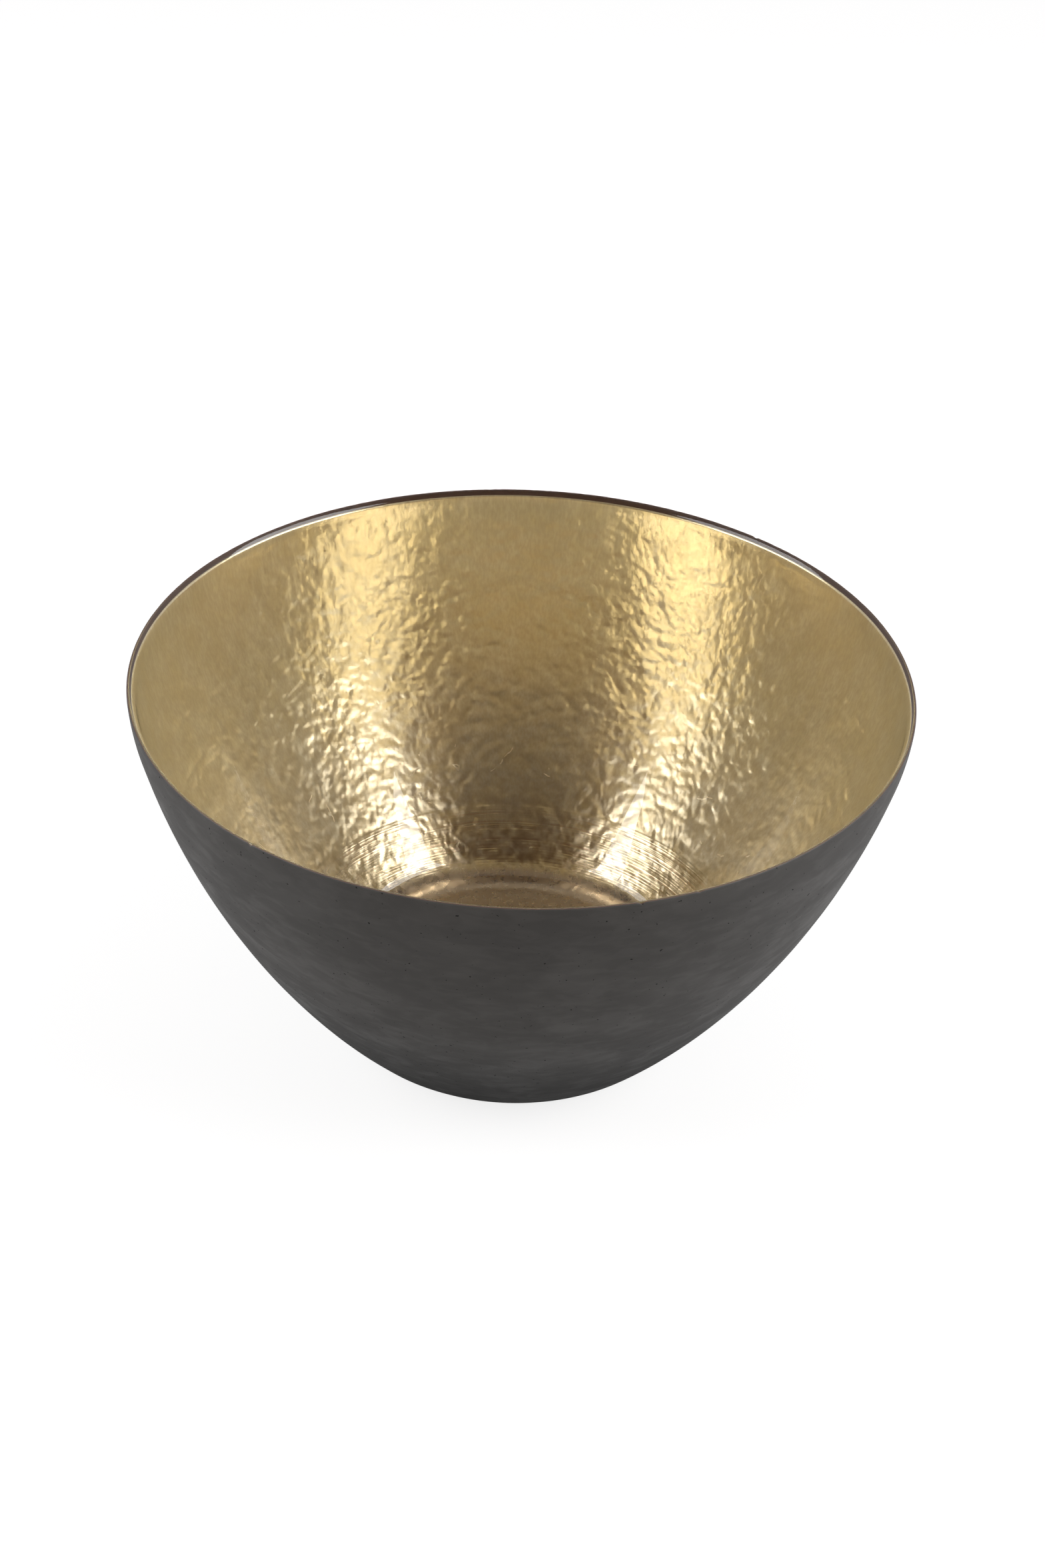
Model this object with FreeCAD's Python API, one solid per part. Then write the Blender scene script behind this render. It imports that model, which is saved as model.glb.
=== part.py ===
import FreeCAD, Part

import math
import os

# A round bowl without a foot ring, in three layers, all turned about +Z. Millimetres.
# The origin is the centre of the flat underside, and the bowl stands on z = 0.
#   glass_bowl          clear glass, smooth inside, with a rounded bare rim
#   gold_leaf           metal leaf laid on the outside of the glass
#   lacquer_coat        dark lacquer over the leaf, which is also what the bowl stands on

RIM_RADIUS = 125.0

# The outside is tangent arcs, from the flat base up to the rim. A slope is the tangent's angle
# above the horizontal where an arc ends.
CORNER_RADIUS = 13.0
FOOT_SLOPE = 48.5
WALL_RADIUS = 270.0
SHOULDER_SLOPE = 76.0
LIP_RADIUS = 65.0
LIP_SLOPE = 87.0

LACQUER_THICKNESS = 0.3
LEAF_THICKNESS = 0.2
GLASS_THICKNESS = 2.0

# Inside, the wall runs into the floor of the bowl through a fillet.
FLOOR_HEIGHT = 6.0
FLOOR_FILLET = 12.0

# The bare rim of the glass was polished by the flame: a small round edge outside, which runs
# smoothly into a larger rounding on the inside.
RIM_EDGE_RADIUS = 0.5
RIM_ROUNDING_RADIUS = 4.5

# The leaf and the lacquer stop this far short of the end of the lip, measured as slope.
# The lacquer reaches a little higher, so that it seals the edge of the leaf.
LEAF_EDGE_SLOPE = LIP_SLOPE - 0.35
LACQUER_EDGE_SLOPE = LIP_SLOPE - 0.1


def sine(degrees):
    return math.sin(math.radians(degrees))


def cosine(degrees):
    return math.cos(math.radians(degrees))


def arc_centres():
    """The (radius, height) centre of the corner, wall and lip arcs, which every layer shares."""
    corner_reach = CORNER_RADIUS * sine(FOOT_SLOPE)
    wall_reach = WALL_RADIUS * (sine(SHOULDER_SLOPE) - sine(FOOT_SLOPE))
    lip_reach = LIP_RADIUS * (sine(LIP_SLOPE) - sine(SHOULDER_SLOPE))
    base_radius = RIM_RADIUS - corner_reach - wall_reach - lip_reach
    corner = (base_radius, CORNER_RADIUS)
    wall = continued_centre(corner, CORNER_RADIUS, WALL_RADIUS, FOOT_SLOPE)
    lip = continued_centre(wall, WALL_RADIUS, LIP_RADIUS, SHOULDER_SLOPE)
    return corner, wall, lip


def continued_centre(centre, old_radius, new_radius, slope):
    """The centre of a new_radius arc that carries on smoothly from an old_radius arc."""
    step = old_radius - new_radius
    return centre[0] + step * sine(slope), centre[1] - step * cosine(slope)


CORNER_CENTRE, WALL_CENTRE, LIP_CENTRE = arc_centres()


def on_arc(centre, radius, slope):
    """The point of an arc where its tangent has this slope, in the XZ plane."""
    return FreeCAD.Vector(
        centre[0] + radius * sine(slope), 0, centre[1] - radius * cosine(slope)
    )


def arc_edge(centre, radius, first_slope, last_slope):
    middle_slope = (first_slope + last_slope) / 2
    points = [
        on_arc(centre, radius, slope)
        for slope in (first_slope, middle_slope, last_slope)
    ]
    return Part.Arc(*points).toShape()


def wall_edges(depth, first_slope, last_slope):
    """The wall and lip arcs of the surface that lies depth below the outside."""
    return [
        arc_edge(WALL_CENTRE, WALL_RADIUS - depth, first_slope, SHOULDER_SLOPE),
        arc_edge(LIP_CENTRE, LIP_RADIUS - depth, SHOULDER_SLOPE, last_slope),
    ]


def parallel_edges(depth, last_slope):
    """The whole surface that lies depth below the outside, from the axis up to last_slope."""
    axis_point = FreeCAD.Vector(0, 0, depth)
    corner_radius = CORNER_RADIUS - depth
    corner_start = on_arc(CORNER_CENTRE, corner_radius, 0)
    return [
        Part.LineSegment(axis_point, corner_start).toShape(),
        arc_edge(CORNER_CENTRE, corner_radius, 0, FOOT_SLOPE),
    ] + wall_edges(depth, FOOT_SLOPE, last_slope)


def inside_edges(depth, last_slope):
    """The inside of the glass up to last_slope: the floor, its fillet, the wall and the lip."""
    wall_radius = WALL_RADIUS - depth
    # The fillet's centre stands its own radius above the floor, inside the wall's arc.
    centre_height = FLOOR_HEIGHT + FLOOR_FILLET
    drop = WALL_CENTRE[1] - centre_height
    reach = math.sqrt((wall_radius - FLOOR_FILLET) ** 2 - drop**2)
    centre = (WALL_CENTRE[0] + reach, centre_height)
    tangent_slope = math.degrees(math.atan2(reach, drop))
    axis_point = FreeCAD.Vector(0, 0, FLOOR_HEIGHT)
    fillet_start = on_arc(centre, FLOOR_FILLET, 0)
    return [
        Part.LineSegment(axis_point, fillet_start).toShape(),
        arc_edge(centre, FLOOR_FILLET, 0, tangent_slope),
    ] + wall_edges(depth, tangent_slope, last_slope)


def start_of(edges):
    return edges[0].Vertexes[0].Point


def end_of(edges):
    return edges[-1].Vertexes[-1].Point


def turned(outer_edges, inner_edges, rim_edges):
    """The solid between two surfaces, turned once about the axis of the bowl."""
    axis_edge = Part.LineSegment(start_of(outer_edges), start_of(inner_edges)).toShape()
    outline = Part.Wire(
        Part.__sortEdges__(outer_edges + rim_edges + inner_edges + [axis_edge])
    )
    face = Part.Face(outline)
    return face.revolve(FreeCAD.Vector(0, 0, 0), FreeCAD.Vector(0, 0, 1), 360)


def layer(outer_depth, thickness, edge_slope):
    """A layer of even thickness, cut off square to its surface at the top."""
    outer_edges = parallel_edges(outer_depth, edge_slope)
    inner_edges = parallel_edges(outer_depth + thickness, edge_slope)
    cut_edge = Part.LineSegment(end_of(outer_edges), end_of(inner_edges)).toShape()
    return turned(outer_edges, inner_edges, [cut_edge])


def rim_centres(outer_depth, inner_depth):
    """The centres of the rim's edge and rounding, and the slope where the rounding starts.

    The rounding touches the inner lip arc from outside and the round edge from around it, so
    the three centres make a triangle with known sides.
    """
    edge_reach = LIP_RADIUS - outer_depth - RIM_EDGE_RADIUS
    edge = (
        LIP_CENTRE[0] + edge_reach * sine(LIP_SLOPE),
        LIP_CENTRE[1] - edge_reach * cosine(LIP_SLOPE),
    )
    far_side = LIP_RADIUS - inner_depth + RIM_ROUNDING_RADIUS
    short_side = RIM_ROUNDING_RADIUS - RIM_EDGE_RADIUS
    cosine_at_lip = (far_side**2 + edge_reach**2 - short_side**2) / (2 * far_side * edge_reach)
    start_slope = LIP_SLOPE - math.degrees(math.acos(cosine_at_lip))
    rounding = (
        LIP_CENTRE[0] + far_side * sine(start_slope),
        LIP_CENTRE[1] - far_side * cosine(start_slope),
    )
    return edge, rounding, start_slope


def arc_over(centre, radius, start, end):
    """The arc about centre from start to end, over its upper side."""
    middle_of_chord = (start + end) * 0.5
    centre_point = FreeCAD.Vector(centre[0], 0, centre[1])
    outward = (middle_of_chord - centre_point).normalize()
    return Part.Arc(start, centre_point + outward * radius, end).toShape()


def glass_bowl():
    outer_depth = LACQUER_THICKNESS + LEAF_THICKNESS
    inner_depth = outer_depth + GLASS_THICKNESS
    edge, rounding, start_slope = rim_centres(outer_depth, inner_depth)
    outer_edges = parallel_edges(outer_depth, LIP_SLOPE)
    inner_edges = inside_edges(inner_depth, start_slope)
    # The edge and the rounding meet in line with their centres.
    from_rounding = FreeCAD.Vector(edge[0] - rounding[0], 0, edge[1] - rounding[1]).normalize()
    meeting = FreeCAD.Vector(rounding[0], 0, rounding[1]) + from_rounding * RIM_ROUNDING_RADIUS
    rim_edges = [
        arc_over(edge, RIM_EDGE_RADIUS, end_of(outer_edges), meeting),
        arc_over(rounding, RIM_ROUNDING_RADIUS, meeting, end_of(inner_edges)),
    ]
    return turned(outer_edges, inner_edges, rim_edges)


def build():
    return {
        "glass_bowl": glass_bowl(),
        "gold_leaf": layer(LACQUER_THICKNESS, LEAF_THICKNESS, LEAF_EDGE_SLOPE),
        "lacquer_coat": layer(0, LACQUER_THICKNESS, LACQUER_EDGE_SLOPE),
    }


os.makedirs("parts", exist_ok=True)
for name, shape in build().items():
    shape.exportStep("parts/" + name + ".step")
    print(name, "valid", shape.isValid(), "volume", round(shape.Volume), shape.BoundBox)
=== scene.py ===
import math

import bpy
import numpy as np
from mathutils import Matrix, Vector


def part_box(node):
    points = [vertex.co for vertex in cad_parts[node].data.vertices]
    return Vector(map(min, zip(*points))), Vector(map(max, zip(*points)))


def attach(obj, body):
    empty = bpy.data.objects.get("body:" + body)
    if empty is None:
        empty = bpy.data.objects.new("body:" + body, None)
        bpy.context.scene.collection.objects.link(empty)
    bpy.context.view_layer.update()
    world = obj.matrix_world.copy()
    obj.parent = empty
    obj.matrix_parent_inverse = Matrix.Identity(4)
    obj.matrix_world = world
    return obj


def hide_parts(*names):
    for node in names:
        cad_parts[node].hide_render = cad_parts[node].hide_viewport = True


# A round bowl turned about +Z, in metres: clear glass, hammered gold leaf behind it, and a dark
# satin lacquer outside. Each of the three CAD layers is replaced by a mesh with its real surface.

MM = 0.001

# The outside, as tangent arcs from the flat base up to the rim. A slope is the tangent's angle
# above the horizontal where an arc ends.
RIM_RADIUS = 125 * MM
CORNER_RADIUS = 13 * MM
FOOT_SLOPE = 48.5
WALL_RADIUS = 270 * MM
SHOULDER_SLOPE = 76.0
LIP_RADIUS = 65 * MM
LIP_SLOPE = 87.0
FLOOR_HEIGHT = 6 * MM
FLOOR_FILLET = 12 * MM

# Depths below the outside. The relief of the leaf stands in the glass. The leaf, and above its
# edge the lacquer, touch the glass without a gap: light in the glass meets them before its back.
LACQUER_BACK = 0.33 * MM
LEAF_BACK = 0.25 * MM
GLASS_BACK = 0.3 * MM
LEAF_FRONT = 0.62 * MM
LEAF_FRONT_AT_EDGE = 0.37 * MM
GLASS_FRONT = 2.5 * MM

# The bare rim of the glass, and the ring low on the wall where fine turned lines begin.
RIM_EDGE_RADIUS = 0.5 * MM
RIM_ROUNDING_RADIUS = 4.5 * MM
RING_HEIGHT = 24 * MM

# The leaf stops short of the end of the lip, measured as slope. The lacquer laps over the round
# edge outside the rim, up to an angle above level.
LEAF_EDGE_SLOPE = LIP_SLOPE - 1.5
LACQUER_TOP = 60

# Small chips in the edge of the lacquer: azimuth and width in degrees, and depth.
CHIPS = [
    (-37.3, 0.22, 0.7 * MM),
    (16.6, 0.3, 0.6 * MM),
    (24.7, 0.18, 0.4 * MM),
    (140, 0.25, 0.6 * MM),
]

# Points round the rim, and the distance from ring to ring, of surfaces with and without relief.
RELIEF_COLUMNS = 1024
SMOOTH_COLUMNS = 512
RELIEF_SPACING = 0.72 * MM
SMOOTH_SPACING = 1.5 * MM
HIDDEN_SPACING = 3 * MM
ROUNDING_STEPS = 8

# The studio is one grey with lobes of another tone over it, each painted over those before it: the
# azimuth and elevation of its middle, the angles where it begins and has ended to fade, its tone.
STUDIO_GREY = (0.56, 0.56, 0.58, 1)
WORLD_LOBES = [
    ((0, 25), 40, 54, (0.21, 0.125, 0.05, 1)),
    ((0, 0), 12, 34, (0.5, 0.34, 0.14, 1)),
    ((0, 58), 16, 46, (0.05, 0.028, 0.016, 1)),
    ((90, 0), 12, 42, (1.3, 1.3, 1.3, 1)),
    ((-90, 0), 12, 42, (0.8, 0.8, 0.8, 1)),
]

# What the camera itself sees beyond the sweep: a plain pale wall.
WALL_TONE = (0.86, 0.86, 0.87, 1)

# Half the width of the sweep, and how far it lies below the bowl, so that the two don't coincide.
SWEEP_HALF_WIDTH = 4.0
SWEEP_GAP = 0.1 * MM

LAMP_DISTANCE = 1.4

# The camera, seen from the middle of the rim. It aims a little to the right, and below the rim.
CAMERA_ELEVATION = 31.69
CAMERA_DISTANCE = 0.7658
CAMERA_ROLL = 2.3
CAMERA_LENS = 55.1
SENSOR_HEIGHT = 36
AIM_RIGHT = 1.4 * MM
AIM_DROP = 43.5 * MM

SEED = 20


# ---------------------------------------------------------------- outline

def sine(degrees):
    return np.sin(np.radians(degrees))


def cosine(degrees):
    return np.cos(np.radians(degrees))


def next_centre(centre, old_radius, new_radius, slope):
    step = old_radius - new_radius
    return centre[0] + step * sine(slope), centre[1] - step * cosine(slope)


BASE_RADIUS = (
    RIM_RADIUS
    - CORNER_RADIUS * sine(FOOT_SLOPE)
    - WALL_RADIUS * (sine(SHOULDER_SLOPE) - sine(FOOT_SLOPE))
    - LIP_RADIUS * (sine(LIP_SLOPE) - sine(SHOULDER_SLOPE))
)
CORNER = (BASE_RADIUS, CORNER_RADIUS)
WALL = next_centre(CORNER, CORNER_RADIUS, WALL_RADIUS, FOOT_SLOPE)
LIP = next_centre(WALL, WALL_RADIUS, LIP_RADIUS, SHOULDER_SLOPE)


def along(arcs, floor_height, spacing):
    """Points (radius, height, slope) at even steps, from the axis across the floor and up the arcs."""
    floor_radius = arcs[0][0][0]
    lengths = [r * math.radians(last - first) for _, r, first, last in arcs]
    total = floor_radius + sum(lengths)
    steps = np.linspace(0, total, max(2, round(total / spacing)) + 1)
    points = np.zeros((len(steps), 3))
    points[:, 0] = np.minimum(steps, floor_radius)
    points[:, 1] = floor_height
    start = floor_radius
    for (centre, radius, first, last), length in zip(arcs, lengths):
        inside = (steps > start) & (steps <= start + length + 1e-9)
        slope = first + (last - first) * (steps[inside] - start) / length
        points[inside, 0] = centre[0] + radius * sine(slope)
        points[inside, 1] = centre[1] - radius * cosine(slope)
        points[inside, 2] = slope
        start += length
    return points


def parallel_outline(depth, spacing, end_slope=LIP_SLOPE):
    """The outside, moved inward by depth."""
    arcs = [
        (CORNER, CORNER_RADIUS - depth, 0, FOOT_SLOPE),
        (WALL, WALL_RADIUS - depth, FOOT_SLOPE, SHOULDER_SLOPE),
        (LIP, LIP_RADIUS - depth, SHOULDER_SLOPE, end_slope),
    ]
    return along(arcs, depth, spacing)


def inside_outline(depth, spacing, end_slope):
    """The inside of the glass: its floor, a fillet, the wall and the lip."""
    wall_radius = WALL_RADIUS - depth
    height = FLOOR_HEIGHT + FLOOR_FILLET
    drop = WALL[1] - height
    reach = math.sqrt((wall_radius - FLOOR_FILLET) ** 2 - drop**2)
    tangent = math.degrees(math.atan2(reach, drop))
    arcs = [
        ((WALL[0] + reach, height), FLOOR_FILLET, 0, tangent),
        (WALL, wall_radius, tangent, SHOULDER_SLOPE),
        (LIP, LIP_RADIUS - depth, SHOULDER_SLOPE, end_slope),
    ]
    return along(arcs, FLOOR_HEIGHT, spacing)


# ---------------------------------------------------------------- meshes

NEAR_AXIS = 1e-6
FEWEST_COLUMNS = 12
MOST_HALVINGS = 6


class Turned:
    """A closed mesh made of rings about the axis. Rings near the axis have fewer points."""

    def __init__(self, columns):
        self.columns = columns
        self.rings = []
        self.positions = []
        self.count = 0
        self.faces = []

    def columns_at(self, radius):
        """Half as many columns each time the radius halves, so that faces stay about square."""
        if radius < NEAR_AXIS:
            return 1
        halvings = max(0, math.floor(math.log2(RIM_RADIUS / radius)))
        return max(FEWEST_COLUMNS, self.columns >> min(halvings, MOST_HALVINGS))

    def ring(self, positions):
        start = self.count
        self.positions.append(positions)
        self.count += len(positions)
        self.rings.append((start, len(positions)))

    def join(self):
        """Faces between each ring and the one before it."""
        for (a, n), (b, m) in zip(self.rings, self.rings[1:]):
            self.band(a, n, b, m)

    def band(self, a, n, b, m):
        """Faces between a ring of n points, the first of which is a, and one of m points from b."""
        if n == 1 or m == 1:
            many, count, pole = (b, m, a) if n == 1 else (a, n, b)
            for i in range(count):
                j = (i + 1) % count
                face = (pole, many + i, many + j)
                self.faces.append(face if n == 1 else face[::-1])
        elif n == m:
            for i in range(n):
                j = (i + 1) % n
                self.faces.append((a + i, b + i, b + j, a + j))
        elif m == 2 * n:
            for i in range(n):
                j = (i + 1) % n
                left, middle, right = b + 2 * i, b + 2 * i + 1, b + (2 * i + 2) % m
                self.faces.append((a + i, left, middle))
                self.faces.append((a + i, middle, a + j))
                self.faces.append((a + j, middle, right))
        else:
            for i in range(m):
                j = (i + 1) % m
                left, middle, right = a + 2 * i, a + 2 * i + 1, a + (2 * i + 2) % n
                self.faces.append((left, b + i, middle))
                self.faces.append((middle, b + i, b + j))
                self.faces.append((middle, b + j, right))

    def object(self, name):
        self.join()
        mesh = bpy.data.meshes.new(name)
        mesh.from_pydata(np.concatenate(self.positions).tolist(), [], self.faces)
        mesh.validate()
        mesh.shade_smooth()
        piece = bpy.data.objects.new(name, mesh)
        bpy.context.scene.collection.objects.link(piece)
        return piece


def circle(point, count):
    """Positions and outward normals of one ring of an outline."""
    radius, height, slope = point
    turn = np.arange(count) * (2 * math.pi / count)
    around = np.stack([np.cos(turn), np.sin(turn)], 1)
    positions = np.column_stack([radius * around, np.full(count, height)])
    normals = np.column_stack([sine(slope) * around, np.full(count, -cosine(slope))])
    return positions, normals


def add_surface(turned, outline, offset=None):
    """Rings along an outline, each point moved outward by offset(positions, outline row)."""
    for row, point in enumerate(outline):
        positions, normals = circle(point, turned.columns_at(point[0]))
        if offset is not None:
            positions = positions + normals * offset(positions, row)[:, None]
        turned.ring(positions)


# ---------------------------------------------------------------- relief

# Random numbers for a block of cells, which repeats in every direction.
TABLE = 64
GENERATOR = np.random.default_rng(SEED)
CELL_CENTRES = GENERATOR.random((TABLE, TABLE, TABLE, 3))
SLOPES = GENERATOR.normal(size=(TABLE, TABLE, TABLE, 3))
SLOPES /= np.linalg.norm(SLOPES, axis=3, keepdims=True)

# Noise for one axis is read this many lumps away from the noise for the axis before it.
APART = 7.3


def noise(positions, size):
    """Smooth noise from about -0.6 to 0.6, with lumps about as wide as size."""
    scaled = positions / size + TABLE / 2
    cell = np.floor(scaled).astype(int)
    part = scaled - cell
    fade = part * part * part * (part * (part * 6 - 15) + 10)
    total = np.zeros(len(positions))
    for corner in np.ndindex(2, 2, 2):
        step = np.array(corner)
        index = (cell + step) % TABLE
        slopes = SLOPES[index[:, 0], index[:, 1], index[:, 2]]
        weight = np.prod(np.where(step == 1, fade, 1 - fade), axis=1)
        total += weight * np.sum(slopes * (part - step), axis=1)
    return total


def dents(positions, size):
    """Round hollows side by side: 0 in the middle of each, up to about 0.8 at the ridges between."""
    scaled = positions / size + TABLE / 2
    cell = np.floor(scaled).astype(int)
    nearest = np.full(len(positions), np.inf)
    for offset in np.ndindex(3, 3, 3):
        index = cell + np.array(offset) - 1
        wrapped = index % TABLE
        centre = index + CELL_CENTRES[wrapped[:, 0], wrapped[:, 1], wrapped[:, 2]]
        nearest = np.minimum(nearest, np.sum((scaled - centre) ** 2, axis=1))
    return nearest


def wandered(positions, size, reach):
    """Positions moved by noise, so that what is drawn on them is bent out of its regular shape."""
    shifts = [noise(positions + APART * size * axis, size) for axis in (1, 2, 3)]
    return positions + reach * np.stack(shifts, 1)


def hammered(positions):
    """Offset of the beaten leaf: blows of two sizes over soft ripples, calmer low down."""
    up = positions[:, 2]
    rise = np.clip(up / (130 * MM), 0, 1)
    flattened = positions * np.array([1, 1, 1.15])
    bent = wandered(wandered(flattened, 15 * MM, 4 * MM), 4 * MM, 1 * MM)

    # Heights of the relief, in millimetres. The larger shapes fade towards the rim.
    large = 0.13 * dents(bent, 3.9 * MM) * (1 - 0.55 * rise**2)
    small = 0.085 * dents(bent[:, [1, 2, 0]], 2.1 * MM) * (1 - 0.1 * rise)
    fine = 0.045 * noise(bent, 1.5 * MM)
    middle = 0.09 * noise(bent, 5 * MM) * (1 - 0.4 * rise)
    rolling = 0.12 * noise(positions, 11 * MM) * (1 - 0.5 * rise)
    height = large + small + fine + middle + rolling

    # The deepest hollows are cut off, so that none comes through the lacquer behind.
    mean_height, deepest = 0.08, 0.26
    calm = 0.62 + 0.38 * np.clip(up / (45 * MM), 0, 1)
    return MM * calm * np.minimum(mean_height - height, deepest)


def wavy(positions):
    """Offset of a fire-polished surface."""
    return 0.09 * MM * noise(positions, 21 * MM)


def uneven(positions):
    """Offset of the sprayed lacquer: at or just below the true outside, and none underneath."""
    soft = noise(positions, 13 * MM) + 0.4 * noise(positions, 5 * MM)
    above_base = np.clip(positions[:, 2] / (3 * MM), 0, 1)
    return 0.05 * MM * (soft - 0.6) * above_base


# ---------------------------------------------------------------- pieces

def faded_below_end(outline, length):
    """1 along an outline, falling to 0 over the last stretch before its upper end."""
    return np.clip((outline[-1, 1] - outline[:, 1]) / length, 0, 1)


def make_leaf():
    """The gold leaf: the beaten face that is seen, and a plain back against the lacquer."""
    turned = Turned(RELIEF_COLUMNS)
    front = parallel_outline(LEAF_FRONT, RELIEF_SPACING, LEAF_EDGE_SLOPE)
    strength = faded_below_end(front, 3 * MM)
    thinned = (LEAF_FRONT - LEAF_FRONT_AT_EDGE) * (1 - faded_below_end(front, 2 * MM))
    add_surface(
        turned, front, lambda positions, row: hammered(positions) * strength[row] + thinned[row]
    )
    back = parallel_outline(LEAF_BACK, HIDDEN_SPACING, LEAF_EDGE_SLOPE)
    add_surface(turned, back[::-1])
    return turned.object("hammered_gold_leaf")


def on_arc(centre, radius, turn):
    """The (radius, height) point of an arc at an angle above level."""
    return centre[0] + radius * cosine(turn), centre[1] + radius * sine(turn)


def rim_edge():
    """The centre of the small round edge outside the rim, and its distance from the lip's centre."""
    reach = LIP_RADIUS - GLASS_BACK - RIM_EDGE_RADIUS
    return on_arc(LIP, reach, LIP_SLOPE - 90), reach


def over_edge(depth):
    """A line round the edge outside the rim, from the end of the lip to the top of the lacquer."""
    edge, _ = rim_edge()
    radius = RIM_EDGE_RADIUS + GLASS_BACK - depth
    turns = np.linspace(LIP_SLOPE - 90, LACQUER_TOP, 7)[1:]
    return np.array([(*on_arc(edge, radius, turn), turn + 90) for turn in turns])


def rim_outline():
    """The bare rim: a rounding that leaves the inside, and a small round edge outside."""
    edge, edge_reach = rim_edge()
    far_side = LIP_RADIUS - GLASS_FRONT + RIM_ROUNDING_RADIUS
    short_side = RIM_ROUNDING_RADIUS - RIM_EDGE_RADIUS
    cosine_at_lip = (far_side**2 + edge_reach**2 - short_side**2) / (2 * far_side * edge_reach)
    start_slope = LIP_SLOPE - math.degrees(math.acos(cosine_at_lip))
    rounding = on_arc(LIP, far_side, start_slope - 90)
    meeting = math.degrees(math.atan2(edge[1] - rounding[1], edge[0] - rounding[0]))
    points = []
    for turn in np.linspace(90 + start_slope, meeting, ROUNDING_STEPS + 1)[1:]:
        points.append((*on_arc(rounding, RIM_ROUNDING_RADIUS, turn), 0))
    for turn in np.linspace(meeting, LIP_SLOPE - 90, ROUNDING_STEPS + 1)[1:-1]:
        points.append((*on_arc(edge, RIM_EDGE_RADIUS, turn), 0))
    return start_slope, np.array(points)


def make_glass():
    """The glass: smooth inside, rounded over at the rim, and its back hidden behind the leaf."""
    turned = Turned(SMOOTH_COLUMNS)
    start_slope, rim = rim_outline()
    front = inside_outline(GLASS_FRONT, SMOOTH_SPACING, start_slope)
    strength = faded_below_end(front, 6 * MM)
    add_surface(turned, front, lambda positions, row: wavy(positions) * strength[row])
    add_surface(turned, rim)
    add_surface(turned, parallel_outline(GLASS_BACK, SMOOTH_SPACING)[::-1])
    return turned.object("clear_glass")


def chipped(positions):
    """How far the edge of the lacquer stands below its line: ragged, with a few small chips."""
    around = np.degrees(np.arctan2(positions[:, 0], -positions[:, 1]))
    ragged = 0.16 * MM * np.abs(noise(positions * np.array([1, 1, 0]), 2.6 * MM))
    for azimuth, width, depth in CHIPS:
        ragged = ragged + depth * np.exp(-(((around - azimuth) / width) ** 2))
    return ragged


def lacquer_outline(depth):
    return np.vstack([parallel_outline(depth, SMOOTH_SPACING), over_edge(depth)])


def make_lacquer():
    """The lacquer: a soft uneven outside, and a ragged painted edge at the rim."""
    turned = Turned(RELIEF_COLUMNS)
    back = lacquer_outline(LACQUER_BACK)
    outside = lacquer_outline(0)[::-1]
    for outline, offset in ((back, None), (outside, lambda positions, row: uneven(positions))):
        first = len(turned.positions)
        add_surface(turned, outline, offset)
        sink = np.clip((outline[:, 1] - outline[:, 1].max()) / (4 * MM) + 1, 0, 1)
        for positions, share in zip(turned.positions[first:], sink):
            positions[:, 2] -= share * chipped(positions)
    return turned.object("anthracite_lacquer")


# ---------------------------------------------------------------- materials

class Nodes:
    """A node tree, built node by node. Every value is a number, a colour or a node's output."""

    def __init__(self, tree):
        self.tree = tree

    def put(self, socket, value):
        if isinstance(value, bpy.types.NodeSocket):
            self.tree.links.new(value, socket)
        else:
            socket.default_value = value

    def add(self, kind, settings=None, **inputs):
        node = self.tree.nodes.new("ShaderNode" + kind)
        for name, value in (settings or {}).items():
            setattr(node, name, value)
        for name, value in inputs.items():
            self.put(node.inputs[name.replace("_", " ")], value)
        return node

    def combined(self, kind, operation, first, second):
        """A Math or Vector Math node of two values."""
        node = self.add(kind, {"operation": operation})
        self.put(node.inputs[0], first)
        self.put(node.inputs[1], second)
        return node.outputs

    def total(self, *terms):
        result = terms[0]
        for term in terms[1:]:
            result = self.combined("Math", "ADD", result, term)[0]
        return result

    def product(self, *factors):
        result = factors[0]
        for factor in factors[1:]:
            result = self.combined("Math", "MULTIPLY", result, factor)[0]
        return result

    def span(self, value, from_low, from_high, to_low=0.0, to_high=1.0):
        """Value taken smoothly from one range to another, and held at its ends."""
        node = self.add("MapRange", {"interpolation_type": "SMOOTHSTEP"}, Value=value)
        ends = {"From Min": from_low, "From Max": from_high, "To Min": to_low, "To Max": to_high}
        for name, number in ends.items():
            node.inputs[name].default_value = number
        return node.outputs["Result"]

    def mix(self, factor, first, second):
        """From the first colour to the second."""
        node = self.add("Mix", {"data_type": "RGBA"})
        for index, value in ((0, factor), (6, first), (7, second)):
            self.put(node.inputs[index], value)
        return node.outputs[2]


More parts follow.
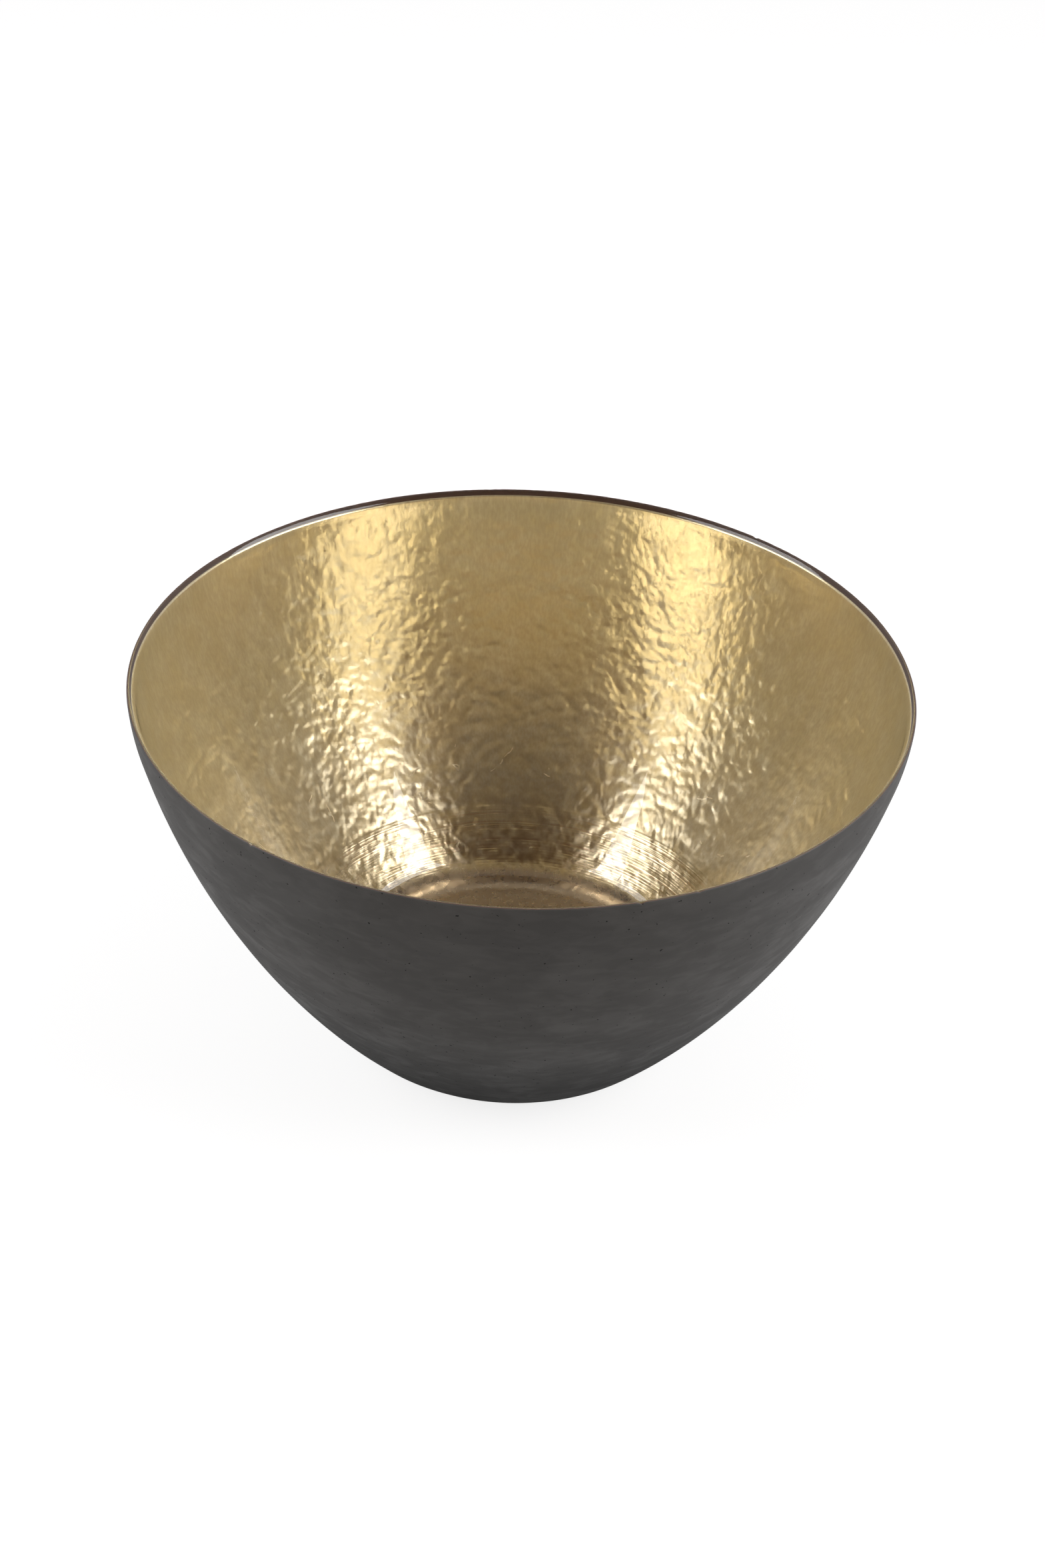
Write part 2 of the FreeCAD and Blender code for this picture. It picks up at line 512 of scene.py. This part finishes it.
class Material(Nodes):
    """A material, built around its Principled shader. Sizes in it are metres on the bowl."""

    def __init__(self, name):
        self.material = bpy.data.materials.new(name)
        self.material.use_nodes = True
        super().__init__(self.material.node_tree)
        self.shader = self.tree.nodes["Principled BSDF"]
        self.place = self.add("TexCoord").outputs["Object"]
        self.height = self.add("SeparateXYZ", Vector=self.place).outputs["Z"]

    def finish(self, **inputs):
        for name, value in inputs.items():
            self.put(self.shader.inputs[name.replace("_", " ")], value)
        return self.material

    def noise(self, size, detail=2.0, stretch=(1, 1, 1), swirl=0.0):
        """Noise from 0 to 1 with lumps about as wide as size."""
        place = self.add("Mapping", Vector=self.place, Scale=stretch).outputs["Vector"]
        node = self.add("TexNoise", Vector=place, Scale=1 / size, Detail=detail, Distortion=swirl)
        return node.outputs["Fac"]

    def radius(self):
        """Distance from the axis of the bowl."""
        flat = self.combined("VectorMath", "MULTIPLY", self.place, (1, 1, 0))["Vector"]
        return self.combined("VectorMath", "LENGTH", flat, (0, 0, 0))["Value"]

    def bump(self, height):
        return self.add("Bump", Distance=1.0, Height=height).outputs["Normal"]


def turned_lines(n):
    """Fine turned lines between the floor of the bowl and the ring: their strength and height."""
    along_wall = n.total(n.product(n.height, 0.74), n.product(n.radius(), 0.67))
    one_way = {"noise_dimensions": "1D"}
    lines = n.add("TexNoise", one_way, W=along_wall, Scale=1 / (0.8 * MM), Detail=1.0)
    below_ring = n.span(n.height, RING_HEIGHT, RING_HEIGHT - 0.6 * MM)
    above_floor = n.span(n.height, 3 * MM, 6 * MM)
    patchy = n.span(n.noise(16 * MM), 0.38, 0.6, 0.25, 1.0)
    return n.product(n.product(below_ring, above_floor), patchy), lines.outputs["Fac"]


def scratches(n):
    """Hairline scratches low on the wall: short stretches of the borders of bent cells."""
    shift = n.add("TexNoise", Vector=n.place, Scale=1 / (5 * MM), Detail=2.0).outputs["Color"]
    shift = n.combined("VectorMath", "MULTIPLY", shift, (4 * MM, 4 * MM, 4 * MM))["Vector"]
    bent = n.combined("VectorMath", "ADD", n.place, shift)["Vector"]
    borders = {"feature": "DISTANCE_TO_EDGE"}
    cells = n.add("TexVoronoi", borders, Vector=bent, Scale=1 / (17 * MM))
    hairline = n.span(cells.outputs["Distance"], 0.014, 0.006)
    here_and_there = n.span(n.noise(7 * MM, detail=1), 0.63, 0.67)
    low = n.span(n.height, 48 * MM, 36 * MM)
    return n.product(hairline, here_and_there, low)


def gold_tone(n, streaks, brushed, turned, line_height):
    """Paler low on the wall, yellower above, browner on the floor, with coppery turned lines."""
    patches = n.span(n.noise(11 * MM, detail=4), 0.35, 0.65)
    upper = n.mix(patches, (0.87, 0.73, 0.42, 1), (0.91, 0.78, 0.48, 1))
    lower = n.mix(patches, (0.86, 0.72, 0.46, 1), (0.88, 0.77, 0.55, 1))
    tone = n.mix(n.span(n.height, 35 * MM, 85 * MM), lower, upper)
    tone = n.mix(n.span(brushed, 0.6, 0.36, 0, 0.16), tone, (0.62, 0.50, 0.32, 1))
    tone = n.mix(n.span(streaks, 0.62, 0.38, 0, 0.4), tone, (0.7, 0.57, 0.35, 1))
    tone = n.mix(n.span(n.height, 8 * MM, 3 * MM), tone, (0.52, 0.38, 0.22, 1))
    coppery = n.product(turned, n.span(line_height, 0.52, 0.66), 0.4)
    return n.mix(coppery, tone, (0.72, 0.46, 0.30, 1))


def gold_material():
    """Brass leaf: crumbed and finely streaked, and more satin than a mirror above the floor."""
    n = Material("gold_leaf")
    rise = n.span(n.height, 20 * MM, 115 * MM)
    streaks = n.noise(0.8 * MM, stretch=(1, 1, 0.22), detail=3)
    crumbs = n.noise(1.6 * MM, stretch=(1, 1, 0.8), detail=4, swirl=0.3)
    brushed = n.noise(2.6 * MM, stretch=(1, 1, 0.3), detail=6)
    turned, line_height = turned_lines(n)
    ring_half_width = 0.4 * MM

    # Bump heights are in metres: 1e-6 is a thousandth of a millimetre.
    height = n.total(
        n.product(n.span(n.height, 0, 90 * MM, 5e-6, 19e-6), streaks),
        n.product(n.span(n.height, 5 * MM, 60 * MM, 10e-6, 36e-6), crumbs),
        n.product(turned, n.span(line_height, 0.35, 0.65), 13e-6),
        n.span(n.height, RING_HEIGHT - ring_half_width, RING_HEIGHT + ring_half_width, 0, 22e-6),
    )
    roughness = n.total(
        n.span(rise, 0, 1, 0.175, 0.13),
        n.span(brushed, 0.35, 0.65, -0.02, 0.06),
        n.span(n.height, 9 * MM, 3 * MM, 0, 0.1),
        n.product(scratches(n), 0.4),
    )
    return n.finish(
        Base_Color=gold_tone(n, streaks, brushed, turned, line_height),
        Metallic=n.span(n.height, 6 * MM, 40 * MM, 0.85, 0.5),
        Roughness=roughness,
        Normal=n.bump(height),
    )


def glass_material():
    """Clear fire-polished glass, with a few specks of dust on it."""
    n = Material("clear_glass")
    dust = n.span(n.noise(0.6 * MM, detail=3), 0.74, 0.8, 0.0, 0.2)
    return n.finish(
        Base_Color=(1, 1, 1, 1), IOR=1.5, Transmission_Weight=1.0, Roughness=dust
    )


def lacquer_material():
    """Dark satin lacquer, rubbed and slightly clouded, with painted shade low down, and fine dry
    grain.
    """
    n = Material("anthracite_lacquer")
    clouds = n.noise(26 * MM, detail=5, stretch=(1, 1, 1.6), swirl=0.6)
    smears = n.noise(9 * MM, detail=5, stretch=(1, 1, 2.5), swirl=0.8)
    grain = n.noise(0.5 * MM, detail=3)
    pits = n.span(n.noise(1.1 * MM, detail=1), 0.74, 0.78)
    worn = n.total(n.span(clouds, 0.35, 0.7, 0, 0.6), n.span(smears, 0.4, 0.7, 0, 0.4))
    tone = n.mix(worn, (0.066, 0.064, 0.0625, 1), (0.088, 0.0855, 0.083, 1))
    # Painted shade: the lacquer turns near black towards the floor, for the shade low on the bowl.
    tone = n.mix(n.span(n.height, 80 * MM, 5 * MM, 0, 0.92), tone, (0.007, 0.007, 0.007, 1))
    tone = n.mix(pits, tone, (0.004, 0.004, 0.004, 1))

    # Seen through the bare rim, the lacquer that lies on the glass is painted brown: painted shade
    # that stands in for gold leaf in shadow there.
    painted_shade_at_rim = n.product(
        n.span(n.radius(), RIM_RADIUS - 0.2 * MM, RIM_RADIUS - 0.28 * MM),
        n.span(n.height, 128.2 * MM, 128.8 * MM),
    )
    tone = n.mix(painted_shade_at_rim, tone, (0.13, 0.08, 0.062, 1))
    roughness = n.total(
        n.span(worn, 0, 1, 0.5, 0.38),
        n.product(pits, 0.3),
        n.span(n.height, 50 * MM, 5 * MM, 0, 0.15),
    )
    height = n.total(n.product(grain, 9e-6), n.product(smears, 30e-6), n.product(pits, -60e-6))
    return n.finish(
        Base_Color=tone, Roughness=roughness, Specular_IOR_Level=0.24, Normal=n.bump(height)
    )


def floor_material():
    """A sweep that looks white to the camera, and lights the bowl less than such a white would."""
    n = Material("studio_floor")
    seen = n.add("LightPath").outputs["Is Camera Ray"]
    return n.finish(
        Base_Color=(0.25, 0.25, 0.25, 1),
        Roughness=0.9,
        Specular_IOR_Level=0.1,
        Emission_Color=(1, 1, 1, 1),
        Emission_Strength=n.span(seen, 0, 1, 0.25, 0.82),
    )


# ---------------------------------------------------------------- stage

def direction(azimuth, elevation):
    """Azimuth 0 is the camera's side, and 90 is its right-hand side."""
    flat = cosine(elevation)
    return Vector((flat * sine(azimuth), -flat * cosine(azimuth), sine(elevation)))


def make_floor():
    """A square sweep under the bowl."""
    half, low = SWEEP_HALF_WIDTH, -SWEEP_GAP
    corners = [(-half, -half, low), (half, -half, low), (half, half, low), (-half, half, low)]
    mesh = bpy.data.meshes.new("studio_floor")
    mesh.from_pydata(corners, [], [(0, 1, 2, 3)])
    floor = bpy.data.objects.new("studio_floor", mesh)
    floor.data.materials.append(floor_material())
    bpy.context.scene.collection.objects.link(floor)


def soft_box(name, azimuth, elevation, half_width, half_height, radiance):
    """A rectangular lamp that faces the bowl. Its half sizes are the angles that it spans there."""
    lamp = bpy.data.lights.new(name, "AREA")
    lamp.shape = "RECTANGLE"
    lamp.size = 2 * LAMP_DISTANCE * math.tan(math.radians(half_width))
    lamp.size_y = 2 * LAMP_DISTANCE * math.tan(math.radians(half_height))
    lamp.energy = radiance * math.pi * lamp.size * lamp.size_y
    place = bpy.data.objects.new(name, lamp)
    place.location = LAMP_DISTANCE * direction(azimuth, elevation)
    place.rotation_euler = (-place.location).to_track_quat("-Z", "Y").to_euler()
    bpy.context.scene.collection.objects.link(place)


def make_world():
    """A grey studio, warm and dark on the camera's side, and pale to the left and the right."""
    world = bpy.data.worlds.new("studio")
    bpy.context.scene.world = world
    world.use_nodes = True
    n = Nodes(world.node_tree)
    place = n.add("TexCoord").outputs["Generated"]
    colour = STUDIO_GREY
    for middle, inner, outer, tone in WORLD_LOBES:
        facing = n.combined("VectorMath", "DOT_PRODUCT", place, direction(*middle))["Value"]
        colour = n.mix(n.span(facing, cosine(outer), cosine(inner)), colour, tone)
    seen = n.add("LightPath").outputs["Is Camera Ray"]
    n.put(n.tree.nodes["Background"].inputs["Color"], n.mix(seen, colour, WALL_TONE))


def make_camera(rim_height):
    """The camera looks down into the bowl from the front, tilted a little to one side."""
    camera = bpy.data.cameras.new("camera")
    camera.sensor_fit = "VERTICAL"
    camera.sensor_height = SENSOR_HEIGHT
    camera.lens = CAMERA_LENS
    camera.clip_end = 50
    place = bpy.data.objects.new("camera", camera)
    eye = Vector((0, 0, rim_height)) + CAMERA_DISTANCE * direction(0, CAMERA_ELEVATION)
    aim = Vector((AIM_RIGHT, 0, rim_height - AIM_DROP))
    look = (aim - eye).to_track_quat("-Z", "Y").to_matrix().to_4x4()
    roll = Matrix.Rotation(math.radians(CAMERA_ROLL), 4, "Z")
    place.matrix_world = Matrix.Translation(eye) @ look @ roll
    bpy.context.scene.collection.objects.link(place)
    bpy.context.scene.camera = place


# ---------------------------------------------------------------- the scene

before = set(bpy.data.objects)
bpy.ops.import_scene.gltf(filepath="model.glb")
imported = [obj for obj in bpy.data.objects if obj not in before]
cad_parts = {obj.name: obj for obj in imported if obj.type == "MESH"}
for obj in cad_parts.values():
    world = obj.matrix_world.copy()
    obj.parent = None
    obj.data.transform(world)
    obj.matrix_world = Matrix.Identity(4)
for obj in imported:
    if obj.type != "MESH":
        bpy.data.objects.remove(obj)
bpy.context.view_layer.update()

pieces = [
    (make_leaf(), "gold_leaf", "hammered_gold_leaf", gold_material()),
    (make_glass(), "glass_bowl", "clear_glass", glass_material()),
    (make_lacquer(), "lacquer_coat", "anthracite_lacquer", lacquer_material()),
]
for piece, node, slot, material in pieces:
    piece.data.materials.append(material)
    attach(piece, "root")
    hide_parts(node)

make_floor()
for side, azimuth, radiance in (("left", -81, 4.6), ("right", 81, 5.5)):
    soft_box("box_" + side, azimuth, 37, half_width=20, half_height=16, radiance=radiance)
make_world()
make_camera(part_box("glass_bowl")[1].z)
bpy.context.scene.view_settings.view_transform = "Standard"
